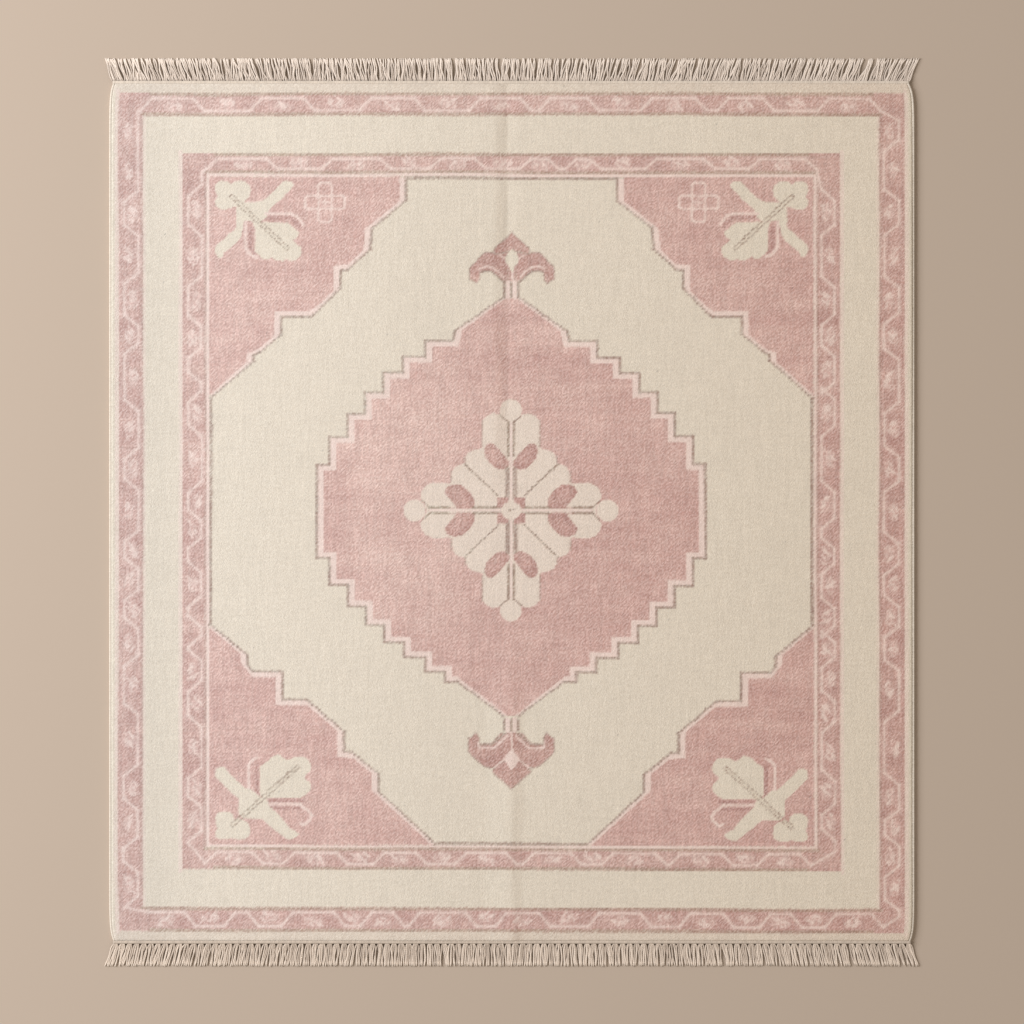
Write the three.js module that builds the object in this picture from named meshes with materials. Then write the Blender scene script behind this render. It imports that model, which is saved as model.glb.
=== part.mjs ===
// A hand-knotted pile rug lying flat, in millimetres, +Z up and its length along Y.
// The origin is on the floor under the middle of the rug.
// Five pieces, as a weaver makes them: the knotted pile on its woven ground, a cord of overcast
// warps along each side, and at each end a twined strip that holds the knotted warp fringe.
import * as THREE from "three";

// The pile, counted in knots
const KNOT = 2.8;
const KNOTS_ACROSS = 568;
const KNOTS_ALONG = 608;
const PILE_WIDTH = KNOTS_ACROSS * KNOT;
const PILE_LENGTH = KNOTS_ALONG * KNOT;
const HALF_LENGTH = PILE_LENGTH / 2;
const THICKNESS = 9;

// The outline: the sides are straight, and each corner draws in by its own amount
const CORNER_INSET = { back: { left: 7.5, right: 11 }, front: { left: 8.5, right: 8 } };
const CORNER_REACH = 17;

// The pile rolls down towards its four edges
const EDGE_DROP = 3;
const EDGE_ROLL = 9;

// One shallow fold mark runs from end to end, a little aslant. It is a valley at the back end and
// comes up as a low ridge at the front end.
const CREASE_X = { front: 1, back: -9 };
const CREASE_DEPTH = { front: -0.9, back: 1.4 };
const CREASE_HALF_WIDTH = 26;

// Slow waves in the pile: height, and how far each repeats along X and Y
const WAVES = [
  { height: 0.35, alongX: 900, alongY: 1300, shift: 0.4 },
  { height: 0.25, alongX: 520, alongY: -760, shift: 2.1 },
];

// Cross-sections from an end of the rug to its middle, and columns from a side to the fold mark
const HALF_STATIONS = 11;
const HALF_COLUMNS = 9;

// Pieces lie this far apart
const GAP = 0.3;

// The overcast side cords
const CORD_WIDTH = 4.7;
const CORD_HEIGHT = 7.6;
const CORD_SIDES = 10;

// The twined strip at each end, with a slope along its top on the fringe side
const STRIP_DEPTH = 4.6;
const STRIP_HEIGHT = 6.4;
const STRIP_BEVEL = 1.4;

// The fringe: one lock for each knotted bunch of warps
const LOCKS = 112;
const FRINGE_LENGTH = 48;
const ROOT_WIDTH = 8.4;
const ROOT_HEIGHT = STRIP_HEIGHT - STRIP_BEVEL;
// How many degrees the last lock at each corner leans outwards, and how the lean grows from the
// middle of the rug to there: below 1 it grows fast at first, above 1 it grows late
const CORNER_LEAN = { back: { left: 17, right: 24 }, front: { left: 17.5, right: 18 } };
const LEAN_GROWTH = { back: 0.6, front: 1.5 };
const LEAN_NOISE = THREE.MathUtils.degToRad(1.5);
const RAGGED = 2.5;
// A lock's two sections: how far along it, its width on the floor and its thickness
const LOCK_SECTIONS = [
  { along: 0.32, width: 11.2, height: 4.8 },
  { along: 1.0, width: 11.4, height: 3.6 },
];
// The top of a lock is narrower than its foot
const LOCK_TAPER = 0.82;

// A number from 0 to 1 that is the same each time for the same lock and use.
function scatter(index, use) {
  const wave = Math.sin(index * 12.9898 + use * 78.233) * 43758.5453;
  return wave - Math.floor(wave);
}

// How far the pile reaches from the middle to one side, at a place along the rug. `side` is -1 for
// the left and 1 for the right.
function reachAcross(y, side) {
  const toEnd = HALF_LENGTH - Math.abs(y);
  const end = CORNER_INSET[y > 0 ? "back" : "front"];
  const inset = side < 0 ? end.left : end.right;
  return PILE_WIDTH / 2 - inset * Math.exp(-toEnd / CORNER_REACH);
}

// A value that runs evenly from the front end to the back end.
function alongRug({ front, back }, y) {
  return THREE.MathUtils.mapLinear(y, -HALF_LENGTH, HALF_LENGTH, front, back);
}

// How far the top has rolled down at this distance in from an edge.
function edgeDrop(inward) {
  const t = THREE.MathUtils.clamp(1 - inward / EDGE_ROLL, 0, 1);
  return EDGE_DROP * t * t;
}

function pileHeight(x, y) {
  const fromCrease = Math.min(Math.abs(x - alongRug(CREASE_X, y)) / CREASE_HALF_WIDTH, 1);
  const crease = alongRug(CREASE_DEPTH, y) * (1 - fromCrease) ** 2;
  const sideways = edgeDrop(reachAcross(y, Math.sign(x)) - Math.abs(x));
  const lengthways = edgeDrop(HALF_LENGTH - Math.abs(y));
  let wave = 0;
  for (const { height, alongX, alongY, shift } of WAVES) {
    wave += height * Math.sin(2 * Math.PI * (x / alongX + y / alongY) + shift);
  }
  return THICKNESS + wave - crease - Math.max(sideways, lengthways);
}

// A closed body through rings of the same number of points. A ring's points run anticlockwise when
// seen from ahead of it, looking back along the rings. `cap` lists the triangles that close a ring.
function loft(rings, cap) {
  const size = rings[0].length;
  const positions = rings.flat(2);
  const faces = [];
  for (let r = 0; r + 1 < rings.length; r++) {
    for (let i = 0; i < size; i++) {
      const a = r * size + i;
      const b = r * size + ((i + 1) % size);
      faces.push(a, b, b + size, a, b + size, a + size);
    }
  }
  const last = (rings.length - 1) * size;
  for (const [a, b, c] of cap) {
    faces.push(a, c, b, last + a, last + b, last + c);
  }
  const geometry = new THREE.BufferGeometry();
  geometry.setAttribute("position", new THREE.Float32BufferAttribute(positions, 3));
  geometry.setIndex(faces);
  return geometry;
}

// The triangles of a convex ring, as a fan.
function fan(size) {
  const triangles = [];
  for (let i = 1; i + 1 < size; i++) triangles.push([0, i, i + 1]);
  return triangles;
}

// The triangles of a ring that runs along its top and back along its bottom, point under point.
function ladder(columns) {
  const triangles = [];
  for (let i = 0; i + 1 < columns; i++) {
    const under = 2 * columns - 1 - i;
    triangles.push([i, i + 1, under], [i + 1, under - 1, under]);
  }
  return triangles;
}

// Numbers from 0 to 1 that crowd towards the start, so that a rolled edge keeps its shape.
function crowded(count, power) {
  return Array.from({ length: count }, (_, i) => (i / (count - 1)) ** power);
}

// Places along the rug for its cross-sections, closer together near the two ends.
function stationsAlong() {
  const half = crowded(HALF_STATIONS, 1.9).map((t) => -HALF_LENGTH * (1 - t));
  return [...half, ...half.slice(0, -1).reverse().map((y) => -y)];
}

// Places across the rug at y, closer together at the sides, with a column on the fold mark.
function columnsAcross(y) {
  const middle = alongRug(CREASE_X, y);
  const shares = crowded(HALF_COLUMNS, 2.3);
  const near = CREASE_HALF_WIDTH;
  const toLeft = -reachAcross(y, -1);
  const toRight = reachAcross(y, 1);
  const left = shares.map((t) => THREE.MathUtils.lerp(toLeft, middle - near, t));
  const right = shares.map((t) => THREE.MathUtils.lerp(toRight, middle + near, t)).reverse();
  return [...left, middle - near / 2, middle, middle + near / 2, ...right];
}

function pileGeometry() {
  const rings = stationsAlong().map((y) => {
    const columns = columnsAcross(y);
    const top = columns.map((x) => [x, y, pileHeight(x, y)]);
    const bottom = columns.map((x) => [x, y, 0]).reverse();
    return [...top, ...bottom];
  });
  return loft(rings, ladder(rings[0].length / 2));
}

// A side cord: an oval section swept along the pile's side, resting on the floor.
function cordGeometry(side) {
  const step = (2 * Math.PI) / CORD_SIDES;
  const rings = stationsAlong().map((y) => {
    const middle = side * (reachAcross(y, side) + GAP + CORD_WIDTH / 2);
    return Array.from({ length: CORD_SIDES }, (_, i) => {
      const angle = -(i + 0.5) * step - Math.PI / 2;
      const flat = Math.cos(step / 2);
      const x = middle + (CORD_WIDTH / 2) * Math.cos(angle);
      return [x, y, (CORD_HEIGHT / 2) * (1 + Math.sin(angle) / flat)];
    });
  });
  return loft(rings, fan(CORD_SIDES));
}

// Where an end strip starts and stops along X, on both cords' far sides. `end` is 1 for the back
// and -1 for the front, whose strip is made turned round, so its left is the rug's right.
function stripEnds(end) {
  const reach = (side) => reachAcross(end * HALF_LENGTH, side * end) + GAP + CORD_WIDTH;
  return [-reach(-1), reach(1)];
}

// The middle of a lock's root along the strip.
function rootMiddle(index, end) {
  const [start, stop] = stripEnds(end);
  const margin = ROOT_WIDTH / 2 + 0.6;
  return THREE.MathUtils.lerp(start + margin, stop - margin, index / (LOCKS - 1));
}

// How far a lock leans outwards to the right, in radians. `place` runs from -1 for the first lock
// to 1 for the last one, and `end` is as above, so the front is turned round here too.
function lockLean(place, end) {
  const name = end > 0 ? "back" : "front";
  const corner = place * end < 0 ? CORNER_LEAN[name].left : CORNER_LEAN[name].right;
  const share = Math.sign(place) * Math.abs(place) ** LEAN_GROWTH[name];
  return THREE.MathUtils.degToRad(corner * share);
}

// A lock's sections from its root to its cut tip, each as four corners from the left foot over the
// top to the right foot.
function lockSections(index, end) {
  const seed = end > 0 ? 2 : 7;
  const middle = rootMiddle(index, end);
  const lean = lockLean((2 * index) / (LOCKS - 1) - 1, end);
  const outermost = index === 0 || index === LOCKS - 1;
  const own = outermost ? 0 : LEAN_NOISE * (2 * scatter(index, seed) - 1);
  const reach = FRINGE_LENGTH - (outermost ? 0 : RAGGED * scatter(index, seed + 3));
  return LOCK_SECTIONS.map(({ along, width, height }) => {
    const x = middle + along * reach * Math.tan(lean + own);
    const y = STRIP_DEPTH + along * reach;
    const foot = width / 2;
    const top = foot * LOCK_TAPER;
    return [[x - foot, y, 0], [x - top, y, height], [x + top, y, height], [x + foot, y, 0]];
  });
}

// The strip and its locks as one closed body, with the strip's inner foot along Y = 0.
// The strip's section is repeated at both sides of each root, and each lock grows out of the part
// of the strip's outer face that lies between them.
function fringeGeometry(end) {
  const section = [
    [0, 0],
    [STRIP_DEPTH, 0],
    [STRIP_DEPTH, ROOT_HEIGHT],
    [STRIP_DEPTH - STRIP_BEVEL, STRIP_HEIGHT],
    [0, STRIP_HEIGHT],
  ];
  const size = section.length;
  const [start, stop] = stripEnds(end);
  const stations = [start];
  for (let i = 0; i < LOCKS; i++) {
    stations.push(rootMiddle(i, end) - ROOT_WIDTH / 2, rootMiddle(i, end) + ROOT_WIDTH / 2);
  }
  stations.push(stop);
  const points = stations.flatMap((x) => section.map(([y, z]) => [x, y, z]));
  const faces = [];
  const quad = (a, b, c, d) => faces.push(a, b, c, a, c, d);

  for (let s = 0; s + 1 < stations.length; s++) {
    const here = s * size;
    const next = here + size;
    const atRoot = s % 2 === 1;
    for (let i = 0; i < size; i++) {
      const j = (i + 1) % size;
      if (atRoot && i === 1) {
        const lock = growLock(points, lockSections((s - 1) / 2, end));
        const root = [here + 1, here + 2, next + 2, next + 1];
        joinLock(quad, [root, ...lock]);
      } else {
        quad(here + i, here + j, next + j, next + i);
      }
    }
  }
  const last = (stations.length - 1) * size;
  for (const [a, b, c] of fan(size)) faces.push(a, c, b, last + a, last + b, last + c);

  const geometry = new THREE.BufferGeometry();
  geometry.setAttribute("position", new THREE.Float32BufferAttribute(points.flat(), 3));
  geometry.setIndex(faces);
  return geometry;
}

// Adds a lock's corners to the points, and gives back their numbers, section by section.
function growLock(points, sections) {
  return sections.map((corners) => corners.map((corner) => points.push(corner) - 1));
}

// The faces around a lock, and over its tip.
function joinLock(quad, rings) {
  for (let r = 0; r + 1 < rings.length; r++) {
    for (let i = 0; i < 4; i++) {
      const j = (i + 1) % 4;
      quad(rings[r][i], rings[r][j], rings[r + 1][j], rings[r + 1][i]);
    }
  }
  const tip = rings[rings.length - 1];
  quad(tip[0], tip[1], tip[2], tip[3]);
}

const wool = new THREE.MeshStandardMaterial({ color: 0xc9a096, roughness: 0.95, metalness: 0 });
const overcast = new THREE.MeshStandardMaterial({ color: 0xe3d9c4, roughness: 0.9, metalness: 0 });
const cotton = new THREE.MeshStandardMaterial({ color: 0xd8c9b2, roughness: 0.9, metalness: 0 });

const rug = new THREE.Group();

function add(name, geometry, material) {
  const mesh = new THREE.Mesh(geometry, material);
  mesh.name = name;
  rug.add(mesh);
  return mesh;
}

add("knotted_pile", pileGeometry(), wool);
add("side_cord_left", cordGeometry(-1), overcast);
add("side_cord_right", cordGeometry(1), overcast);

const fringeBack = add("fringe_back", fringeGeometry(1), cotton);
fringeBack.position.y = HALF_LENGTH + GAP;

const fringeFront = add("fringe_front", fringeGeometry(-1), cotton);
fringeFront.position.y = -HALF_LENGTH - GAP;
fringeFront.rotation.z = Math.PI;

export default rug;
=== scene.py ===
"""Looks for a flat hand-knotted rug, built around its solids. Metres, +Z up, its length along Y.

The pattern is charted in knots, as a weaver does it: X and Y count knots from the middle of the
pattern, and each motif is drawn from its corners. The pile has one vertex for each knot, which
carries that knot's colour.
"""

import math

import bpy
import numpy as np
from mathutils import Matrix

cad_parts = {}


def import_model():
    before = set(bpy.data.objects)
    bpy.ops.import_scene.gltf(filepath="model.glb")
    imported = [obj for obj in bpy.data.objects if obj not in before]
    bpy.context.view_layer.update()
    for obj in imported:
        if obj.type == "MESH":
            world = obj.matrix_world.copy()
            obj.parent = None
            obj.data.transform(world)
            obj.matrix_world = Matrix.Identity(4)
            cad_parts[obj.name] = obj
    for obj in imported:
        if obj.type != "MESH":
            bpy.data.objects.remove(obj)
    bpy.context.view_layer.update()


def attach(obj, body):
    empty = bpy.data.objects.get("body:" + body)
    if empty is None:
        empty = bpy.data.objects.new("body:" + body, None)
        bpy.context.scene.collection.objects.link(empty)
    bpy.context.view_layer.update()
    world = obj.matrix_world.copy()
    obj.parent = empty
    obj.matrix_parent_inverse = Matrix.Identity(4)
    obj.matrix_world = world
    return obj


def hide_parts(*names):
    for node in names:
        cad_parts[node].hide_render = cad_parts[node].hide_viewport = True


# Sizes of the cloth

KNOT = 0.0028
KNOTS_ACROSS = 568
KNOTS_ALONG = 608
HALF_WIDTH = KNOTS_ACROSS * KNOT / 2
HALF_LENGTH = KNOTS_ALONG * KNOT / 2
THICKNESS = 0.009
GROUND_THICKNESS = 0.0022
# How far each corner draws in: (back, front) for the left and the right side
CORNER_INSET = {-1: (0.0075, 0.0085), 1: (0.011, 0.008)}
CORNER_REACH = 0.017
# Knots from the side over which the pattern gives way to a drawn-in corner
CORNER_GIVE = 22
EDGE_DROP = 0.0007
EDGE_ROLL = 0.005
GAP = 0.0003

# The fold mark, from the front end to the back end: where it lies and how deep it is. It is a
# valley at the back and a low ridge at the front.
CREASE_X = (0.001, -0.009)
CREASE_DEPTH = (-0.0009, 0.0014)
CREASE_HALF_WIDTH = 0.026

# Slow waves in the pile: height, repeat along X, repeat along Y, shift
WAVES = [
    (0.00035, 0.9, 1.3, 0.4),
    (0.00025, 0.52, -0.76, 2.1),
]

# Side cords, end twining and fringe
CORD_WIDTH = 0.0047
STRIP_DEPTH = 0.0058
EDGE_HEIGHT = 0.0082
LOCKS = 112
STRANDS_PER_LOCK = 6
FRINGE_LENGTH = 0.048
ROOT_WIDTH = 0.0084
# How many degrees the last lock leans outwards on the left and right, and how the lean grows
# from the middle to there, for the back end (1) and the front end (-1)
CORNER_LEAN = {1: (17, 24), -1: (17.5, 18)}
LEAN_GROWTH = {1: 0.6, -1: 1.5}
STRAND_RADIUS = 0.0017
PLY_PITCH = 0.0075

# Yarn colours, as 0 to 255 screen values

IVORY = (222, 211, 193)
LEFT_IVORY = (217, 205, 186)
END_IVORY = (218, 204, 187)
FLOWER_IVORY = (225, 210, 195)
ROSE = (207, 173, 163)
BORDER_ROSE = (201, 168, 158)
BLUSH = (230, 209, 198)
TAUPE = (176, 156, 143)
DARK_TAUPE = (158, 138, 122)
BORDER_TAUPE = (184, 163, 146)
MAUVE = (192, 156, 146)
MAUVE_SHADE = (184, 148, 140)
CORD_IVORY = (222, 211, 195)
# The fringe cotton: its colour where lit, and the painted shade on the strands' sides and undersides
# and in the gaps between them
COTTON_LIGHT = (233, 219, 204)
COTTON_SHADE = (108, 86, 66)
# Painted shadow: a dark brown for the lower outer face of the end strips, which shows as shade in the
# notches between the fringe's locks
NOTCH_SHADOW = (70, 50, 36)

# The chart, in knots from the middle of the pattern

# The pattern lies a little to the right of the middle of the cloth
PATTERN_SHIFT = -0.26

# The frames of the pattern, as (left, bottom), (right, top)
OUTER_BORDER = ((-278.9, -297.9), (278.8, 297.4))
OUTER_BORDER_INSIDE = ((-261.1, -280.6), (260.6, 281.0))
INNER_BORDER = ((-233.4, -253.9), (233.2, 254.6))
INNER_BORDER_INSIDE = ((-216.1, -238.2), (216.1, 239.9))
LIGHT_LINE_INSIDE = ((-214.2, -236.4), (214.2, 237.8))

# Corners of the right half of the medallion, from the top of its stem to the bottom one
MEDALLION = [
    (5.5, 152.5), (39.5, 128.5), (41, 121.5), (60.5, 121.5), (60.5, 110), (76.5, 110),
    (76.5, 99), (90.5, 99), (90.5, 85), (103.5, 85), (103.5, 70), (116, 70), (116, 53.5),
    (129, 53.5), (129, 34), (137.5, 34), (137.5, -32.5), (128.5, -32.5), (128.5, -52),
    (115.5, -52), (115.5, -67.5), (103, -67.5), (103, -80.5), (90, -80.5), (90, -92.5),
    (76, -92.5), (76, -103), (60.5, -103), (60.5, -113), (46.5, -113), (46.5, -120),
    (37.5, -120), (5.5, -144),
]

# Corners of the stepped edge of each corner piece, from the end of the field to its side
TOP_CORNER = [
    (75, 237), (75, 221), (99, 201.5), (100.5, 186.5), (116.5, 171.5), (121.5, 171),
    (121.5, 158), (140.5, 139.5), (142, 138.5), (163, 138.5), (163, 126), (177.5, 113.5),
    (182.5, 111.5), (182.5, 107), (213.5, 81),
]
BOTTOM_CORNER = [
    (53.5, -236), (94, -198), (94, -185.5), (113, -170.5), (118.5, -170), (118.5, -156),
    (145, -133.5), (162.5, -133.5), (162.5, -113.5), (183.5, -113.5), (187, -109),
    (187, -101.5), (213.5, -80),
]

# How wide the light band is inside a stepped edge, by the way the edge runs
BAND_UPRIGHT = 4.9
BAND_LEVEL = 4.1
BAND_SLANTED = 2.7

# Straights of the wavy line in each border, as (from, to), on the side of the border named
OUTER_TOP_ABOVE = [(-255, -226), (-178, -148), (-100, -69), (-22, 6), (28, 54), (100, 130),
                   (154, 178), (225, 254)]
OUTER_BOTTOM_ABOVE = [(-258, -232), (-196, -187), (-155, -126), (-99, -84), (-65, -33), (-4, 19),
                      (62, 91), (127, 150), (184, 198), (230, 255)]
OUTER_LEFT_INSIDE = [(-273, -256), (-231, -212), (-180, -144), (-102, -84), (-56, -41), (-13, 16),
                     (46, 72), (120, 132), (170, 196), (228, 284)]
OUTER_RIGHT_OUTSIDE = [(-286, -282), (-250, -236), (-210, -192), (-140, -112), (-80, -66),
                       (-36, -22), (22, 39), (78, 108), (141, 159), (204, 221), (264, 278)]
INNER_TOP_ABOVE = [(-208, -174), (-127, -94), (-50, -26), (14, 26), (46, 56), (103, 136),
                   (176, 208)]
INNER_BOTTOM_ABOVE = [(-209, -184), (-154, -124), (-90, -68), (-32, -4), (16, 42), (72, 102),
                      (120, 149), (182, 204)]
INNER_LEFT_INSIDE = [(-227, -210), (-182, -153), (-120, -106), (-88, -82), (-60, -43), (-18, -6),
                     (22, 54), (86, 92), (117, 132), (168, 196), (232, 241)]
INNER_RIGHT_OUTSIDE = [(-240, -232), (-206, -190), (-148, -134), (-102, -92), (-80, -68),
                       (-36, -26), (-4, 14), (62, 80), (92, 110), (140, 159), (204, 221)]
TURN_LENGTH = 8

# Pendants at the two ends of the medallion: right halves, then whole drops
TOP_ROOF = [(-0.5, 199), (3, 195.5), (6, 193), (9, 190.5), (11.5, 188), (13, 185.5), (11.5, 183.5),
            (-0.5, 186)]
TOP_HOOK = [(-0.5, 186), (6, 184), (11.5, 183.5), (15, 184.5), (19, 184.5), (21.5, 182.5),
            (24.5, 179.5), (26, 177), (28.5, 175.5), (30, 173), (30, 165), (28, 164.5),
            (25, 162.5), (23, 165), (22.5, 170), (19, 171), (15, 171), (11.5, 168.5), (9, 166),
            (5.5, 163.5), (-0.5, 163)]
TOP_DROP = [(0, 187), (3, 184.5), (5, 180.5), (4.5, 177), (2, 174.5), (1, 170), (-0.5, 170),
            (-2, 174.5), (-4, 177), (-5, 180.5), (-3, 184.5)]
BOTTOM_ROOF = [(0, -196), (6.5, -190), (10.5, -187), (14, -183.5), (12.5, -181.5), (7.5, -177),
               (0, -176)]
BOTTOM_HOOK = [(0, -155), (4, -156.5), (8, -156.5), (11.5, -161), (15, -164), (23, -164),
               (23, -159.5), (25, -156), (28, -159), (30.5, -160), (30.5, -169.5), (27.5, -173),
               (23.5, -176.5), (20, -179.5), (16, -181), (11.5, -180.5), (7.5, -177), (0, -180)]
BOTTOM_DROP = [(0, -160), (1, -168.5), (3, -171), (5.5, -173.5), (4.5, -176.5), (3, -179.5),
               (0, -183), (-2.5, -179.5), (-4, -176.5), (-5, -173.5), (-3, -171), (-0.5, -168.5)]

# Light and dark lines on both halves of the pendants: points, width, colour, strength. They
# follow the hooks and notch the drops.
PENDANT_LINES = [
    ([(23, 173), (19, 174.5), (14, 174), (9, 170.5), (6, 167)], 1.5, BLUSH, 0.9),
    ([(22, 170.5), (18.5, 171.5), (14.5, 171.2), (11, 168.5), (6, 163.5)], 1.3, TAUPE, 0.95),
    ([(23.5, -163), (22.8, -166.8), (12.5, -167), (8, -163), (3, -158)], 1.6, BLUSH, 0.9),
    ([(5, -156.5), (9, -160.5), (13.5, -164.2), (22, -164.3)], 1.5, TAUPE, 0.95),
    ([(5, 180), (8.5, 182.5)], 1.3, BLUSH, 0.9),
    ([(4.5, -174.5), (12, -180.5)], 1.3, BLUSH, 0.9),
]

# The flower in the middle: its outline from the top to the right, round its own centre
FLOWER_CENTRE = (-0.35, 1.3)
FLOWER_QUARTER = [
    (0, 64), (3, 65.7), (7.5, 68.2), (13, 69.3), (17.4, 67.2), (20.2, 63.7), (20.2, 45.2),
    (22.3, 43.8), (26.6, 43.1), (30.8, 41), (32.3, 36.7), (32.6, 33.9), (35.8, 32.8),
    (39.3, 31.4), (41.5, 28.2), (42.2, 24), (41.8, 20.4), (44.3, 19), (48.6, 19.7), (55.7, 19.7),
    (60.6, 17.6), (63.5, 14), (64.5, 9), (62, 6.2), (60, 0),
]
FLOWER_UPRIGHT_LEAF = [
    (3, 36.4), (5.5, 40), (8.9, 43.8), (11.8, 46.9), (15.1, 48), (18.2, 46.2), (19, 42.1),
    (17.9, 37.2), (14.6, 33.3), (11.2, 30.3), (7.2, 28.9), (3.4, 29.5), (1.5, 31.5), (1.5, 35.5),
]
FLOWER_LEVEL_LEAF = [
    (26, 1.3), (26, 7.2), (28.2, 11.3), (31.7, 15.2), (35.6, 18.1), (40.9, 18.6), (45.5, 16.8),
    (47.4, 12.9), (44.2, 8.7), (41, 5), (38.4, 1.3),
]
FLOWER_BALLS = [(0, 71.3), (0, -70.8), (68.6, 0), (-68.6, 0)]
BALL_RADIUS = 7.8

# Where petals overlap in each quarter of the flower, and the fine lines there: points, width,
# colour, strength and dot pitch
FLOWER_EDGES = [[(20.4, 46), (20.4, 64)], [(32.9, 33.5), (32.9, 38.5)], [(42.3, 21), (42.3, 28)]]
FLOWER_LINES = [
    ([(33, 33), (9.6, 10.6)], 1.0, DARK_TAUPE, 1.0, 2),
    ([(1.9, 63), (1.9, 39)], 1.6, DARK_TAUPE, 0.9, 0),
    ([(2.8, 29.5), (2.8, 8)], 3.1, TAUPE, 0.95, 0),
    ([(58, 2.0), (44, 2.0)], 1.8, DARK_TAUPE, 0.9, 0),
    ([(44, 2.0), (27, 2.0)], 1.2, MAUVE, 0.5, 0),
    ([(27, 2.0), (8, 2.0)], 1.6, DARK_TAUPE, 0.9, 0),
    ([(2.2, 63), (7.5, 67.5)], 0.9, DARK_TAUPE, 1.0, 0),
    ([(58, 2.1), (63, 7)], 0.9, DARK_TAUPE, 1.0, 0),
]

# Sprays in the corner pieces, on the right-hand side
TOP_TREFOIL = [
    (189.5, 220), (186, 224), (185, 228.5), (186, 232), (190.5, 235), (196, 234.5), (199, 232.5),
    (201.5, 234.5), (206.5, 235), (210, 232.5), (210.5, 228.5), (208.5, 223.5), (210.5, 221),
    (210, 217), (206.5, 214.5), (202.5, 214.5), (198, 216), (194, 216.5),
]
TOP_BODY = [
    (154.5, 232), (156.5, 234.5), (160, 235), (162.5, 234.5), (165, 232), (169, 227.5),
    (173.5, 223.5), (177, 221), (181, 220), (189.5, 220), (195.5, 216), (195.5, 202.5),
    (196.5, 200.5), (200.5, 198), (204, 194), (207.5, 191.5), (209.5, 189.5), (210.5, 186.5),
    (210, 183.5), (208, 180.5), (205, 181), (204, 184.5), (200.5, 187), (197.5, 189.5),
    (194.5, 192), (192, 195.5), (190.5, 201.5), (189.5, 207), (179, 205.5), (174, 209),
    (172, 214.5), (166, 220), (162.5, 222.5), (160, 226), (157, 228.5),
]
TOP_LEAF = [
    (174, 206), (159, 205), (156.5, 203.5), (153.5, 200.5), (151, 198.5), (151, 196.5),
    (153, 194), (155.5, 193), (153, 190.5), (149.5, 188), (149, 183.5), (150.5, 181),
    (154, 178.5), (157.5, 178), (160, 179.5), (162.5, 178), (166, 178.5), (168.5, 179.5),
    (170.5, 181), (172.5, 179.5), (176, 179.5), (179.5, 182.5), (182, 185), (182, 200.5),
    (184, 206),
]
TOP_STEM = [(199.5, 224.5), (158.5, 186.5)]
TOP_CURLS = [
    [(174.5, 211.8), (157, 211.8), (153, 210), (149.5, 206.5), (148, 203.5)],
    [(188.8, 205), (188.8, 188), (186.5, 184), (184, 182), (180.7, 181)],
]
TOP_CURL_SHADES = [
    [(174, 208.7), (157, 208.7), (153, 205.5), (150.5, 203)],
    [(185.4, 201.5), (185.4, 188), (182.5, 184)],
    [(191.2, 209), (191.2, 200)],
]
BOTTOM_TREFOIL = [
    (193.5, -217.5), (196.5, -219), (197, -215.5), (200, -213.5), (205, -213), (208.5, -214.5),
    (210, -217.5), (209.5, -222.5), (208.5, -225), (210, -228.5), (209.5, -231.5), (206.5, -233),
    (201, -233), (198, -232), (195, -233), (189.5, -233), (186, -231), (185, -227), (186, -222),
    (188, -220),
]
BOTTOM_BODY = [
    (209.5, -183), (207, -181.5), (203.5, -181.5), (199.5, -186.5), (192.5, -193), (188.5, -196.5),
    (185, -196.5), (178, -202.5), (172.5, -205), (171.5, -209), (166, -214), (160.5, -220),
    (157, -224.5), (153.5, -226), (150.5, -228.5), (152.5, -231), (156, -232.5), (159, -232.5),
    (164.5, -228.5), (171, -223.5), (176.5, -218.5), (179.5, -218), (190, -218), (193.5, -215),
    (193.5, -204), (199.5, -199), (206.5, -192), (210, -188.5),
]
BOTTOM_LEAF = [
    (176.5, -204.5), (178.5, -200), (178.5, -181), (173, -177), (170.5, -174.5), (166.5, -172.5),
    (164, -172.5), (161.5, -174.5), (159.5, -176), (157, -175.5), (154, -174), (149, -173.5),
    (145.5, -174.5), (143, -177), (142, -180), (142.5, -183.5), (145, -186), (147, -188),
    (145.5, -190), (142.5, -192), (142, -194), (142.5, -197), (145.5, -200.5), (149.5, -203),
    (170.5, -203),
]
BOTTOM_STEM = [(198.5, -223.5), (151, -180.5)]
BOTTOM_CURLS = [
    [(186.5, -196.5), (186.5, -181), (185.5, -178), (183, -176), (180, -174.5)],
    [(171.5, -207.5), (149.5, -207.5), (147, -210), (144, -212), (141.5, -215.5), (143, -218.5),
     (145.5, -221), (147.5, -222), (149.5, -221)],
]
BOTTOM_CURL_SHADES = [
    [(180.3, -201), (180.3, -181)],
    [(172.5, -205), (148, -205)],
    [(170, -210), (150, -210)],
]

# The small cross flower beside each top spray
CROSS_CENTRE = (132.6, 219.7)
CROSS_LOBE = 9.2
CROSS_LOBE_HALF = 4.7

# Noise


def ease(t):
    return t * t * (3 - 2 * t)


def soft_noise(shape, cell, seed):
    """Smooth noise from -1 to 1 over rows and columns; cell is (rows, columns) per bump."""
    rng = np.random.default_rng(seed)
    places = [np.arange(n) / c for n, c in zip(shape, cell)]
    lattice = rng.uniform(-1, 1, [int(p[-1]) + 2 for p in places])
    (row, column), (down, across) = zip(*[(p.astype(int), ease(p % 1)) for p in places])
    down = down[:, None]
    here = lattice[row][:, column] * (1 - down) + lattice[row + 1][:, column] * down
    right = lattice[row][:, column + 1] * (1 - down) + lattice[row + 1][:, column + 1] * down
    return here * (1 - across) + right * across


# Drawing on the chart

ROWS = KNOTS_ALONG + 1
COLUMNS = KNOTS_ACROSS + 1
SHAPE = (ROWS, COLUMNS)
CLOTH_U, CLOTH_V = np.meshgrid(
    np.arange(COLUMNS) - KNOTS_ACROSS / 2, np.arange(ROWS) - KNOTS_ALONG / 2
)
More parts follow.
